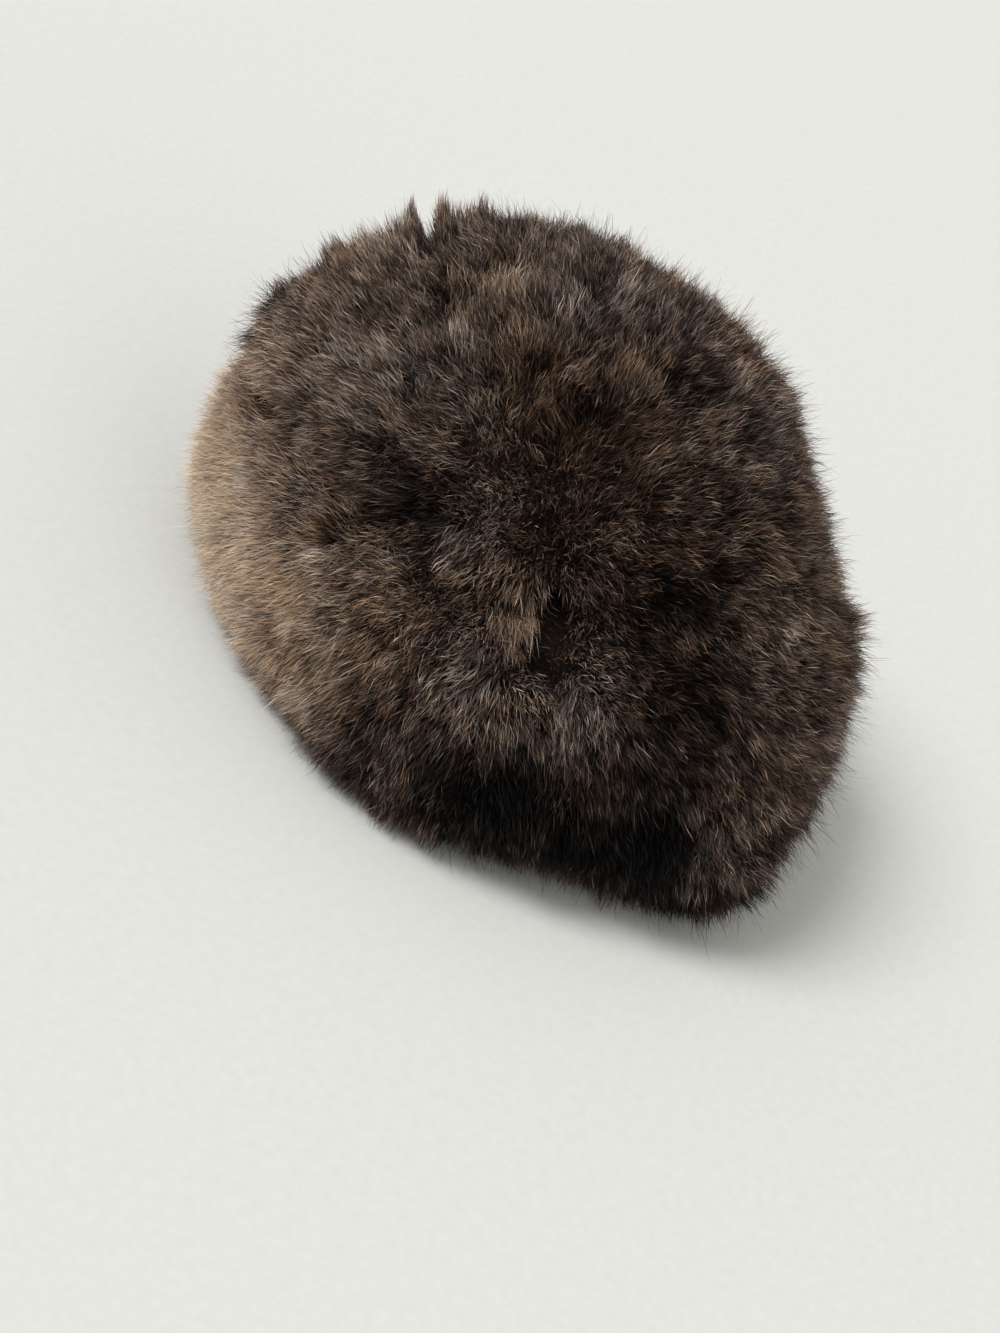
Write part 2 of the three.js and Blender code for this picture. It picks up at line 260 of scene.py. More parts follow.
def set_stops(node, stops):
    """Fills a colour ramp from rows of position and hex colour."""
    ramp = node.color_ramp
    while len(ramp.elements) > 1:
        ramp.elements.remove(ramp.elements[-1])
    ramp.elements[0].position = stops[0][0]
    ramp.elements[0].color = linear(stops[0][1])
    for position, colour in stops[1:]:
        ramp.elements.new(position).color = linear(colour)


def new_material(name):
    """An empty material with its node tree."""
    material = bpy.data.materials.new(name)
    material.use_nodes = True
    material.node_tree.nodes.clear()
    return material, material.node_tree


print("helpers ready")

# %% [markdown]
# ## Hair
# A hair of this fur is banded: a near-black root, a shaft that gets lighter, a grey or tan band near
# the end and a darker point. Each hair's map has its own tone across and runs from root to tip
# upwards. The map's lower half is for warm hairs and its upper half for grey ones. Colour ramps over
# the tone, blended along the hair, give every hair its colour from one material. Hair is keratin:
# its gloss is soft, a little sharper at the tips than in the matt underfur.

# %% Hair material
WARM_TIPS = [(0.00, "#060302"), (0.25, "#1a110b"), (0.50, "#61493a"), (0.75, "#a98d75"), (1.00, "#d8c7ad")]
GREY_TIPS = [(0.00, "#030303"), (0.25, "#151212"), (0.50, "#5f514b"), (0.75, "#a7968c"), (1.00, "#dcd0c6")]
WARM_SHAFTS = [(0.00, "#020101"), (0.50, "#140b07"), (0.72, "#34261c"), (0.86, "#a18870"), (1.00, "#cab59b")]
GREY_SHAFTS = [(0.00, "#010101"), (0.50, "#0e0c0b"), (0.72, "#2c2421"), (0.86, "#84756a"), (1.00, "#a3968a")]
BANDING = [(0.00, "#000000"), (0.60, "#101010"), (0.80, "#ffffff"), (0.95, "#ffffff"), (1.00, "#b0b0b0")]


def add_ramp(tree, source, stops):
    """Colour read off the stops by the source's value."""
    ramp = add_node(tree, "ShaderNodeValToRGB", {"Fac": source})
    set_stops(ramp, stops)
    return ramp.outputs["Color"]


def add_blend(tree, share, first, second):
    """Colour between the first and the second by the share."""
    return add_node(tree, "ShaderNodeMix", {0: share, 6: first, 7: second}, data_type="RGBA").outputs[2]


def make_hair_material():
    """The map's height is doubled, and what is left over whole numbers is the way along the hair."""
    material, tree = new_material("combed_pelt_hair")
    spread = add_node(tree, "ShaderNodeUVMap", uv_map="OFBake")
    parts = add_node(tree, "ShaderNodeSeparateXYZ", {"Vector": spread.outputs["UV"]})
    tone = parts.outputs["X"]
    doubled = add_node(tree, "ShaderNodeMath", {0: parts.outputs["Y"], 1: 2.0}, operation="MULTIPLY")
    along = add_node(tree, "ShaderNodeMath", {0: doubled.outputs[0]}, operation="FRACT").outputs[0]
    grey_half = {0: parts.outputs["Y"], 1: 0.5}
    grey = add_node(tree, "ShaderNodeMath", grey_half, operation="GREATER_THAN").outputs[0]
    tip = add_blend(tree, grey, add_ramp(tree, tone, WARM_TIPS), add_ramp(tree, tone, GREY_TIPS))
    shaft = add_blend(tree, grey, add_ramp(tree, tone, WARM_SHAFTS), add_ramp(tree, tone, GREY_SHAFTS))
    colour = add_blend(tree, add_ramp(tree, along, BANDING), shaft, tip)
    gloss = add_node(tree, "ShaderNodeMapRange", {"Value": along, "To Min": 0.8, "To Max": 0.5})
    surface = add_node(tree, "ShaderNodeBsdfPrincipled", {
        "Base Color": colour, "Roughness": gloss.outputs["Result"],
        "IOR": 1.55, "Specular IOR Level": 0.07})
    add_node(tree, "ShaderNodeOutputMaterial", {"Surface": surface.outputs["BSDF"]})
    return material


hair_material = make_hair_material()
print("hair ramps:", len(WARM_TIPS), len(GREY_TIPS))

# %% [markdown]
# ## Pelt
# Under the hair is the skin, dark with short matted down on the outside, and inside the hat a plain
# suede wall. It is one closed shell for each solid, worked out as the outer form moved in by the
# depth of the hair, and the wall of the hollow.

# %% Pelt material
SUEDE_NAP_MM = 1.6
SUEDE_NAP_DEPTH_MM = 0.6
SUEDE_CLOUD_MM = 22.0
SUEDE_COLOURS = [(0.08, "#0b0706"), (0.25, "#130d0a"), (0.45, "#221a14")]


def make_pelt_material():
    """Two noises, slow clouds and a fine nap, multiplied for the colour. The nap also lifts the surface."""
    material, tree = new_material("brushed_suede_pelt")
    place = add_node(tree, "ShaderNodeTexCoord")
    cloud = add_node(tree, "ShaderNodeTexNoise", {"Vector": place.outputs["Object"],
                                                  "Scale": 1.0 / (SUEDE_CLOUD_MM * MM), "Detail": 4.0})
    nap = add_node(tree, "ShaderNodeTexNoise", {"Vector": place.outputs["Object"],
                                                "Scale": 1.0 / (SUEDE_NAP_MM * MM), "Detail": 3.0})
    both = {0: cloud.outputs["Fac"], 1: nap.outputs["Fac"]}
    blend = add_node(tree, "ShaderNodeMath", both, operation="MULTIPLY")
    colour = add_node(tree, "ShaderNodeValToRGB", {"Fac": blend.outputs[0]})
    set_stops(colour, SUEDE_COLOURS)
    bump = add_node(tree, "ShaderNodeBump", {
        "Height": nap.outputs["Fac"], "Strength": 0.5, "Distance": SUEDE_NAP_DEPTH_MM * MM})
    surface = add_node(tree, "ShaderNodeBsdfPrincipled", {
        "Base Color": colour.outputs["Color"], "Roughness": 0.92, "Normal": bump.outputs["Normal"],
        "Specular IOR Level": 0.1})
    add_node(tree, "ShaderNodeOutputMaterial", {"Surface": surface.outputs["BSDF"]})
    return material


pelt_material = make_pelt_material()
print("pelt material:", pelt_material.name)


# %% Pelt shells
HAIR_DEPTH = 13.0
# Points round the pelt, and rings up its outside and up its inner wall.
PELT_ROUND = 144
OUTER_RINGS = {"band": 14, "crown": 20}
WALL_RINGS = {"band": 8, "crown": 14}
# Climbs of the band pelt's first ring above its foot, and of the crown pelt's top ring.
BAND_PELT_FOOT = -0.62
CROWN_PELT_TOP = 0.985
# The crown's inner wall ends this share of a quarter turn up its vault.
VAULT_SHARE = 0.97
CROWN_TOP_RISE = 0.3
FOOT_INSET = 4.0
SEAM_CLEARANCE = 0.2
SEAM_STEPS = 400
seam_search = np.linspace(0.0, 1.0, SEAM_STEPS)


def seam_climb(angle):
    """Climb at which the outer form crosses the seam plane, read off a fine table for each angle."""
    points = fur_surface(angle[:, None], seam_search[None])
    above = points[..., 2] - seam_plane(points[..., 1])
    first = np.argmax(above > 0, axis=1)
    rows = np.arange(len(angle))
    share = above[rows, first - 1] / (above[rows, first - 1] - above[rows, first])
    return seam_search[first - 1] + share * (seam_search[1] - seam_search[0])


def section_grid(angle, low, high, count):
    """Pelt points on `count` steps of climb between two limits: the outer form less the hair's depth."""
    steps = np.linspace(0.0, 1.0, count)[:, None]
    climb = low + (high - low) * steps
    around = np.broadcast_to(angle, climb.shape)
    return fur_surface(around, climb) - HAIR_DEPTH * fur_normal(around, climb)


def closed_rings(rings):
    """Triangles between neighbouring rings of points, and from the last ring back to the first."""
    rows, count = rings.shape[:2]
    number = np.arange(rows * count).reshape(rows, count)
    low = number
    high = np.roll(number, -1, axis=0)
    low_next = np.roll(low, -1, axis=1)
    high_next = np.roll(high, -1, axis=1)
    first = np.stack([low, low_next, high_next], -1).reshape(-1, 3)
    second = np.stack([low, high_next, high], -1).reshape(-1, 3)
    return rings.reshape(-1, 3), np.concatenate([first, second])


def make_band_pelt():
    """A ring with a closed section: foot, outer pelt up to the seam, then the inner wall down again."""
    angle = np.linspace(0, 2 * np.pi, PELT_ROUND, endpoint=False)
    seam = seam_climb(angle)
    outer = section_grid(angle[None], BAND_PELT_FOOT, seam[None], OUTER_RINGS["band"])
    foot = fur_surface(angle, -1.0)
    foot = foot * (1.0 - FOOT_INSET / np.linalg.norm(foot, axis=-1, keepdims=True))
    foot[:, 2] = 0.0
    outer[-1, :, 2] = seam_plane(outer[-1, :, 1]) - SEAM_CLEARANCE
    wall = []
    for share in np.linspace(1.0, 0.0, WALL_RINGS["band"]):
        ring = hollow_surface(angle, np.full(PELT_ROUND, SEAM_HEIGHT) * share)
        if share == 1.0:
            ring = hollow_surface(angle, seam_plane(ring[:, 1]) - SEAM_CLEARANCE)
        wall.append(ring)
    rings = np.concatenate([foot[None], outer, np.array(wall)])
    points, triangles = closed_rings(rings)
    return triangle_mesh("band_pelt", points, triangles, pelt_material)


def make_crown_pelt():
    """A cap: rings from the outer top down to the seam and up the inner wall, closed at both tops."""
    angle = np.linspace(0, 2 * np.pi, PELT_ROUND, endpoint=False)
    seam = seam_climb(angle)
    top_climb = np.full((1, PELT_ROUND), CROWN_PELT_TOP)
    outer = section_grid(angle[None], top_climb, seam[None], OUTER_RINGS["crown"])
    outer[-1, :, 2] = seam_plane(outer[-1, :, 1]) + SEAM_CLEARANCE
    inner_seam = hollow_surface(angle, np.full(PELT_ROUND, SEAM_HEIGHT))
    inner_seam = hollow_surface(angle, seam_plane(inner_seam[:, 1]) + SEAM_CLEARANCE)
    steps = np.linspace(0.0, VAULT_SHARE, WALL_RINGS["crown"])[:, None]
    start = inner_seam[:, 2]
    wall = hollow_surface(angle, start + (HOLLOW_HEIGHT - start) * np.sin(np.pi / 2 * steps))
    rings = np.concatenate([outer, wall])
    rows = len(rings)
    points, triangles = closed_rings(rings)
    triangles = triangles.reshape(2, rows, PELT_ROUND, 3)[:, :-1].reshape(-1, 3)
    top = outer[0].mean(0) + (0, 0, CROWN_TOP_RISE)
    under = np.array([0.0, HOLLOW_LEAN, HOLLOW_HEIGHT])
    points = np.concatenate([points, top[None], under[None]])
    ring = np.arange(PELT_ROUND)
    after = np.roll(ring, -1)
    last = (rows - 1) * PELT_ROUND
    lid = np.stack([np.full(PELT_ROUND, rows * PELT_ROUND), after, ring], -1)
    vault = np.stack([np.full(PELT_ROUND, rows * PELT_ROUND + 1), last + ring, last + after], -1)
    return triangle_mesh("crown_pelt", points, np.concatenate([triangles, lid, vault]), pelt_material)


def turn_outward(piece):
    """Recalculates the normals of a closed shell, so that every face looks out of its solid."""
    shell = bmesh.new()
    shell.from_mesh(piece.data)
    bmesh.ops.recalc_face_normals(shell, faces=shell.faces)
    shell.to_mesh(piece.data)
    shell.free()


band_pelt = make_band_pelt()
crown_pelt = make_crown_pelt()
for pelt in (band_pelt, crown_pelt):
    turn_outward(pelt)
    print(pelt.name, "triangles:", len(pelt.data.polygons))

# %% [markdown]
# ## Where the hair grows and which way it lies
# Hair could be placed by a particle system, but then each export would have to make it a mesh. Here
# every hair is worked out directly. Locks are spread evenly by a sunflower spiral: equal steps of
# surface area up the form, and a turn by the golden ratio for each. The hair lies away from a whorl
# on the left of the crown, where it stands upright, hangs down a little, and swirls with a few slow
# waves.

# %% Lie of the fur
WHORL = np.array([80.0, 48.0, 112.0])
WHORL_SIZE = 48.0
HANG = 0.35
GOLDEN_TURN = 0.61803398875

ring_lengths = np.linalg.norm(np.diff(grid_points, axis=1), axis=-1).sum(1)
step_lengths = np.linalg.norm(np.diff(grid_points, axis=0), axis=-1).mean(1)
ring_areas = step_lengths * (ring_lengths[1:] + ring_lengths[:-1]) / 2
area_below = np.concatenate([[0.0], np.cumsum(ring_areas)])
fur_area = area_below[-1]
print("fur area, square mm:", int(fur_area))

# A direction, the wave's own direction in space, and its length in millimetres.
SWIRLS = [
    ((0.5, 0.2, -0.3), (0.8, 0.3, 0.5), 62.0),
    ((-0.2, 0.5, 0.4), (-0.3, 0.9, 0.3), 41.0),
    ((0.3, -0.4, 0.4), (0.5, -0.6, 0.7), 27.0),
    ((-0.4, 0.1, 0.3), (0.9, 0.2, -0.6), 19.0),
    ((0.2, 0.4, -0.3), (-0.5, 0.4, 0.8), 13.0),
]
SWIRL_STRENGTH = 0.35

# A point, the size of the spot, and the way that the hairs there are combed, longer for a flatter lie.
COMBED_SPOTS = [
    (85, 61, 94, 8, 0.40, 0.90, -1.30),
]


def spread_over_fur(count):
    """Angle and climb of evenly spread spots: share i + 1/2 of the area, and i golden turns."""
    index = np.arange(count)
    climb = np.interp((index + 0.5) / count * fur_area, area_below, grid_climb[:, 0])
    return 2 * np.pi * ((index * GOLDEN_TURN) % 1.0), climb


def swirl(point):
    """Slow change of the lie: each wave adds its direction times the sine of the way along it."""
    total = np.zeros_like(point)
    for direction, wave, length in SWIRLS:
        phase = point @ (np.array(wave) / np.linalg.norm(wave)) * (2 * np.pi / length)
        total += np.sin(phase + length)[..., None] * direction
    return total * SWIRL_STRENGTH


def comb_direction(point, normal):
    """Direction along the skin, as long as the hair leans: away from the whorl, growing from nothing
    at the whorl by a bell curve, down a little, plus the swirl and the combed spots."""
    out = point - WHORL
    far = np.linalg.norm(out, axis=-1, keepdims=True)
    lie = out / far * (1.0 - np.exp(-(far / WHORL_SIZE) ** 2))
    lie[..., 2] -= HANG
    lie += swirl(point)
    lie -= (lie * normal).sum(-1, keepdims=True) * normal
    lie /= np.maximum(np.linalg.norm(lie, axis=-1, keepdims=True), 1.0)
    for x, y, z, spot_size, *way in COMBED_SPOTS:
        lie += np.exp(-((point - (x, y, z)) ** 2).sum(-1, keepdims=True) / spot_size ** 2) * way
    return lie - (lie * normal).sum(-1, keepdims=True) * normal


# %% [markdown]
# ## Relief
# Plush fur is never quite level: it bunches into humps 11 to 40 mm apart. The hairs on the humps
# are given a lighter tone and those in the hollows a darker one, which is painted light and shade,
# besides the dark roots that really show in the hollows. The fur also falls into long streaks that
# follow the lie, so they run outwards from the whorl. A sum of many plane waves in random directions
# makes such humps with no grid or seam, and over the direction seen from the whorl it makes the
# streaks. Both lift the locks and shift their tone together, lighter where higher: painted light and shade.

# %% Relief of the fur
RELIEF_SEED = 7
relief_rng = np.random.default_rng(RELIEF_SEED)
RELIEF_WAVES = 60
RELIEF_SHORTEST = 11.0
RELIEF_LONGEST = 40.0
RELIEF_RISE = 1.1
# Tone shift with the relief: lighter on the humps and darker in the hollows, as painted light and shade.
RELIEF_PAINTED_LIGHT = 0.03
STREAK_DISTANCE = 80.0
STREAK_STRETCH = 0.2
STREAK_SHORTEST = 5.0
STREAK_LONGEST = 14.0
STREAK_RISE = 0.8
# Tone shift with the streaks: lighter on their ridges and darker between them, as painted light and shade.
STREAK_PAINTED_LIGHT = 0.035


def random_waves(shortest, longest):
    """Each wave's direction in space times its turn for each millimetre, and where it starts."""
    lengths = relief_rng.uniform(shortest, longest, RELIEF_WAVES)
    ways = unit(relief_rng.standard_normal((RELIEF_WAVES, 3))) * (2 * np.pi / lengths)[:, None]
    return list(zip(ways, relief_rng.uniform(0, 2 * np.pi, RELIEF_WAVES)))


hump_waves = random_waves(RELIEF_SHORTEST, RELIEF_LONGEST)
streak_waves = random_waves(STREAK_SHORTEST, STREAK_LONGEST)


def add_waves(point, waves):
    """Sum of cosines along the waves, over the root of half their number, so its spread is one."""
    total = np.zeros(point.shape[:-1])
    for way, start in waves:
        total += np.cos(point @ way + start)
    return total / np.sqrt(RELIEF_WAVES / 2.0)


def streaks(point):
    """The streak waves over the direction from the whorl, at one distance from it, plus a small share
    of the point itself, so that a streak ends after a few finger widths."""
    return add_waves(unit(point - WHORL) * STREAK_DISTANCE + point * STREAK_STRETCH, streak_waves)


hump_spread = float(add_waves(grid_points, hump_waves).std())
streak_spread = float(streaks(grid_points).std())
print("spread of humps and streaks:", round(hump_spread, 2), round(streak_spread, 2))

# %% [markdown]
# ## Tone
# The pelt is pieced from several skins, so its colour drifts: silver grey on the left of the crown,
# red brown on its middle, black low on the band, and fawn all round the front of the band. Spots
# with a soft edge shift the tone of the hairs that grow there, and how many of them are grey.

# %% Tone of the fur from place to place
BASE_TONE = 0.485
BASE_GREY = 0.50
# A point, the size of the spot, its shift of tone and its shift of the share of grey hairs. The rows run
# from the front of the hat to its back.
TONE_SPOTS = [
    (85, -89, 97, 16, 0.12, 0.05),
    (62, -88, 122, 16, 0.14, 0.00),
    (91, -83, 74, 12, 0.12, -0.20),
    (92, -76, 80, 14, 0.10, -0.10),
    (91, -64, 107, 13, 0.09, 0.05),
    (99, -61, 73, 12, 0.20, -0.10),
    (0, -60, 158, 26, 0.00, 0.35),
    (22, -46, 159, 14, 0.00, 0.30),
    (68, -42, 137, 8, 0.08, 0.00),
    (100, -40, 103, 20, 0.12, 0.15),
    (52, -36, 149, 15, 0.19, -0.10),
    (87, -28, 121, 22, 0.07, 0.25),
    (112, -21, 69, 11, 0.17, 0.00),
    (-3, -16, 164, 14, -0.09, 0.00),
    (117, -14, 26, 12, 0.08, 0.00),
    (33, -13, 158, 14, 0.06, 0.35),
    (-1, -3, 162, 18, 0.03, 0.30),
    (116, 0, 58, 15, 0.22, -0.30),
    (75, 1, 132, 12, 0.15, 0.00),
    (101, 6, 98, 11, -0.16, 0.10),
    (82, 9, 125, 11, 0.13, 0.00),
    (59, 15, 141, 26, -0.08, -0.35),
    (98, 22, 96, 11, -0.24, 0.30),
    (116, 22, 53, 11, 0.12, -0.10),
    (117, 23, 28, 18, 0.42, -0.40),
    (5, 26, 155, 11, -0.30, 0.10),
    (85, 30, 118, 9, 0.16, 0.00),
    (108, 30, 72, 16, 0.14, -0.20),
    (94, 35, 105, 9, 0.17, 0.65),
    (50, 36, 139, 13, -0.10, 0.00),
    (99, 39, 87, 8, 0.07, -0.20),
    (-20, 39, 148, 17, -0.05, 0.20),
    (51, 43, 135, 24, -0.03, -0.30),
    (95, 55, 88, 9, 0.08, -0.25),
    (83, 58, 96, 8, 0.13, -0.35),
    (78, 58, 106, 7, -0.10, -0.20),
    (100, 67, 74, 11, 0.11, 0.40),
    (108, 68, 19, 12, 0.12, 0.20),
    (10, 71, 132, 26, -0.07, -0.25),
    (99, 75, 62, 12, 0.13, -0.05),
    (53, 79, 107, 14, -0.11, -0.20),
    (96, 84, 38, 13, -0.17, 0.30),
    (72, 84, 85, 9, 0.16, 0.10),
    (77, 85, 80, 9, -0.08, 0.20),
    (38, 85, 112, 16, -0.25, -0.10),
    (-13, 92, 116, 12, 0.10, 0.00),
    (71, 94, 79, 15, 0.05, 0.40),
    (-80, 95, 66, 20, -0.05, 0.10),
    (81, 96, 43, 15, -0.30, 0.30),
    (35, 103, 93, 13, -0.18, -0.10),
    (72, 104, 44, 9, 0.18, 0.00),
    (2, 105, 100, 18, 0.04, 0.20),
    (67, 108, 21, 9, -0.15, 0.10),
    (-33, 109, 91, 16, -0.10, 0.00),
    (48, 110, 77, 14, -0.26, 0.10),
    (28, 112, 88, 14, -0.18, 0.00),
    (64, 113, 38, 17, -0.33, 0.35),
    (40, 123, 59, 9, -0.31, 0.10),
    (42, 125, 42, 10, -0.25, 0.20),
    (36, 131, 33, 12, -0.31, 0.25),
    (23, 132, 9, 10, -0.42, 0.20),
    (32, 132, 50, 8, -0.16, 0.10),
    (26, 138, 38, 14, 0.08, 0.30),
    (14, 140, 47, 12, 0.14, 0.00),
]
# Height, and the turn from the front at which the fawn has half faded.
FAWN_EDGE = np.array([(0, 92), (22, 98), (44, 94), (59, 82), (68, 64), (80, 52)])
FAWN_SOFTNESS = 6.0
FAWN_TONE_HEM = 0.92
FAWN_TONE_SEAM = 0.79
FAWN_BELOW_SEAM = 5.5
FAWN_SEAM_SOFTNESS = 2.0
FAWN_GREY = 0.22
# A point on the left front where the fawn is a little darker, the size of the spot, and its shift of tone.
FAWN_DUSK = ((97, -84, 48), 20.0, -0.045)
# The fawn's edge wanders by so many degrees, in waves of so many millimetres for each radian.
RAGGED_UP = 3.0
RAGGED_UP_STEP = 4.0
RAGGED_ACROSS = 2.5
RAGGED_ACROSS_STEP = 5.0
RAGGED_SLANT_STEP = 7.0
# Low on the band the fur is darker and greyer, most of all at this height.
LOW_HEIGHT = 22.0
LOW_REACH = 24.0
LOW_DARK = -0.18
LOW_GREY = 0.15


def fawn_share(point):
    """How much of the fawn front shows: a soft step where the turn from the front passes the edge."""
    turn = np.degrees(np.abs(np.arctan2(point[..., 0], -point[..., 1])))
    edge = np.interp(point[..., 2], FAWN_EDGE[:, 0], FAWN_EDGE[:, 1])
    slant = point[..., 0] / RAGGED_ACROSS_STEP + point[..., 2] / RAGGED_SLANT_STEP
    ragged = RAGGED_UP * np.sin(point[..., 2] / RAGGED_UP_STEP) + RAGGED_ACROSS * np.sin(slant)
    below_seam = seam_plane(point[..., 1]) - point[..., 2]
    on_band = 1.0 / (1.0 + np.exp(-(below_seam - FAWN_BELOW_SEAM) / FAWN_SEAM_SOFTNESS))
    return on_band / (1.0 + np.exp((turn - edge + ragged) / FAWN_SOFTNESS))


def tone_at(point):
    """Tone, share of grey hairs, and share of fawn: the base, darker low on the band, plus each spot's
    shift times a bell curve of distance, blended with the fawn front."""
    low = np.exp(-((point[..., 2] - LOW_HEIGHT) / LOW_REACH) ** 2)
    tone = BASE_TONE + LOW_DARK * low
    grey = BASE_GREY + LOW_GREY * low
    for x, y, z, size, shift, grey_shift in TONE_SPOTS:
        bell = np.exp(-((point - (x, y, z)) ** 2).sum(-1) / size ** 2)
        tone = tone + shift * bell
        grey = grey + grey_shift * bell
    fawn = fawn_share(point)
    fawn_tone = FAWN_TONE_HEM + (FAWN_TONE_SEAM - FAWN_TONE_HEM) * point[..., 2] / SEAM_HEIGHT
    spot, size, shift = FAWN_DUSK
    fawn_tone = fawn_tone + shift * np.exp(-((point - spot) ** 2).sum(-1) / size ** 2)
    tone = tone * (1.0 - fawn) + fawn_tone * fawn
    grey = grey * (1.0 - fawn) + FAWN_GREY * fawn
    return tone, grey, fawn


print("tone spots:", len(TONE_SPOTS))


# %% [markdown]
# ## Tufts and partings
# Fur breaks into tufts about as wide as a finger, with furrows between them. Each lock belongs
# to the nearest tuft, takes that tuft's own height, lie and tone, and is lower at the border between
# two, where its tone is also darker as painted shade. Where the fur really parts, as at the seam on
# the left and on the crown, it is cut down along a short line, and its hairs there get a darker tone
# as painted shade. Beside the open parting on the crown some tufts stand up to a point.

# %% Tufts and partings
HAIR_SEED = 41
rng = np.random.default_rng(HAIR_SEED)
TUFTS = 1000
FURROW_WIDTH = 3.2
FURROW_DEPTH = 3.4
# Darker tone in the furrows between tufts: painted shade.
FURROW_PAINTED_SHADE = 0.06
TUFT_SCATTER = 2.0
TUFT_RISE = 1.1
TUFT_LIE = 0.18
TUFT_TONE = 0.025
TUFT_GREY = 0.13
tuft_spots = fur_surface(*spread_over_fur(TUFTS)) + TUFT_SCATTER * rng.standard_normal((TUFTS, 3))
tuft_rise = TUFT_RISE * rng.standard_normal(TUFTS)
tuft_lie = TUFT_LIE * rng.standard_normal((TUFTS, 3))
tuft_tone = TUFT_TONE * rng.standard_normal(TUFTS)
tuft_grey = TUFT_GREY * rng.standard_normal(TUFTS)

# Start, end, half width, depth, and shift of tone, which is painted shade along the parting.
PARTINGS = [
    ((74, 64, 99), (73, 71, 88), 2.1, 9.5, -0.50),
    ((73, 71, 88), (80, 75, 82), 1.9, 9.5, -0.50),
    ((80, 75, 82), (78, 86, 78), 2.0, 8.5, -0.40),
    ((46, -78, 134), (34, -94, 134), 2.0, 11.0, -0.06),
    ((34, -94, 134), (20, -108, 126), 2.3, 12.0, -0.04),
    ((20, -108, 126), (4, -120, 116), 2.6, 12.0, -0.04),
    ((46, -78, 134), (52, -64, 138), 2.0, 4.0, -0.05),
    ((52, -64, 138), (70, -36, 136), 2.6, 3.0, -0.05),
    ((92, -92, 57), (84, -96, 66), 6.0, 4.0, -0.05),
    ((-43, 66, 123), (-30, 84, 112), 6.0, 3.0, -0.05),
]

# Share of the way to the point that the hairs of a pointed tuft draw together.
TUFT_DRAW = 0.7
# Middle of the tuft's roots, its size, the tip that its hairs draw together to, and its shift of tone.
POINTED_TUFTS = [
    (43, -90, 131, 5.0, 43, -97, 140, 0.05),
    (36, -80, 139, 5.0, 35, -88, 149, 0.05),
    (33, -101, 128, 4.5, 32, -109, 139, 0.08),
    (28, -92, 137, 4.5, 27, -100, 148, 0.08),
    (38, -105, 125, 4.0, 39, -114, 134, 0.05),
    (22, -88, 141, 4.5, 21, -95, 151, 0.04),
    (43, -109, 121, 4.5, 45, -118, 130, 0.05),
    (30, -104, 127, 4.5, 29, -113, 139, 0.03),
    (21, -101, 133, 4.5, 20, -109, 144, 0.03),
    (13, -92, 143, 5.0, 12, -99, 153, 0.00),
    (48, -113, 107, 5.0, 52, -124, 114, 0.03),
    (57, -106, 108, 5.0, 61, -117, 116, 0.03),
    (58, -88, 121, 5.0, 60, -98, 131, 0.03),
    (67, -88, 115, 5.0, 71, -98, 125, 0.03),
]

# Place, size of the spot, and how many millimetres longer the coat is there, or shorter below nought.
LENGTH_SPOTS = [
    (24, -110, 123, 22, -5.0),
    (1, -90, 144, 26, -5.5),
    (-25, -57, 156, 24, -3.5),
    (-46, -20, 156, 20, -2.0),
    (52, -122, 93, 18, -4.0),
    (50, -112, 107, 12, -2.0),
    (77, -106, 93, 12, -6.0),
    (84, -97, 76, 13, 4.0),
    (90, -90, 66, 10, 2.5),
    (85, 66, 89, 8, 2.0),
    (-85, 79, 82, 18, 3.5),
    (-63, 112, 53, 18, 2.0),
]
SEARCH_BATCH = 2000


def nearest_tufts(point):
    """Number of the nearest tuft for each point, and how much farther the second nearest is."""
    first = np.empty(len(point), int)
    margin = np.empty(len(point))
    for start in range(0, len(point), SEARCH_BATCH):
        part = slice(start, start + SEARCH_BATCH)
        away = np.linalg.norm(point[part, None] - tuft_spots[None], axis=-1)
        two = np.partition(away, 1, axis=1)
        first[part] = away.argmin(1)
        margin[part] = two[:, 1] - two[:, 0]
    return first, margin


def parting_cut(point):
    """Depth of the partings and their shift of tone, which is painted shade: a bell curve of the distance
    to each line.
    """
    depth = np.zeros(point.shape[:-1])
    tone = np.zeros(point.shape[:-1])
    for start, end, half_width, cut, shift in PARTINGS:
        line = np.array(end, float) - start
        share = np.clip(((point - start) @ line) / (line @ line), 0.0, 1.0)
        away = np.linalg.norm(point - start - share[..., None] * line, axis=-1)
        bell = np.exp(-(away / half_width) ** 2)
        depth += cut * bell
        tone += shift * bell
    return depth, tone


def coat_length(point):
    """Millimetres by which the coat is longer than the usual at a point: a bell curve for each spot."""
    longer = np.zeros(point.shape[:-1])
    for x, y, z, size, amount in LENGTH_SPOTS:
        longer += amount * np.exp(-((point - (x, y, z)) ** 2).sum(-1) / size ** 2)
    return longer


def draw_together(grows, tip):
    """Pulls the tips of each pointed tuft's hairs part of the way to its point, by a bell curve of how
    far from the tuft's middle the hair grows. Returns the tips and the shift of tone."""
    tone = np.zeros(grows.shape[:-1])
    for x, y, z, size, tip_x, tip_y, tip_z, shift in POINTED_TUFTS:
        bell = np.exp(-((grows - (x, y, z)) ** 2).sum(-1) / size ** 2)
        tip = tip + TUFT_DRAW * bell[..., None] * ((tip_x, tip_y, tip_z) - tip)
        tone += shift * bell
    return tip, tone


print("tufts:", TUFTS, "partings:", len(PARTINGS), "pointed tufts:", len(POINTED_TUFTS))


# %% [markdown]
# ## Hairs
# A hair is a slim ribbon that starts and ends in a point. It is drawn several times as thick as a
# real one, because real hair is so fine that far more of it would be needed to cover the pelt. Each
# grows straight out of the pelt and bends over along the comb near its end. The hairs of a lock
# close up towards its tip, which is what makes fur look combed instead of like a carpet.

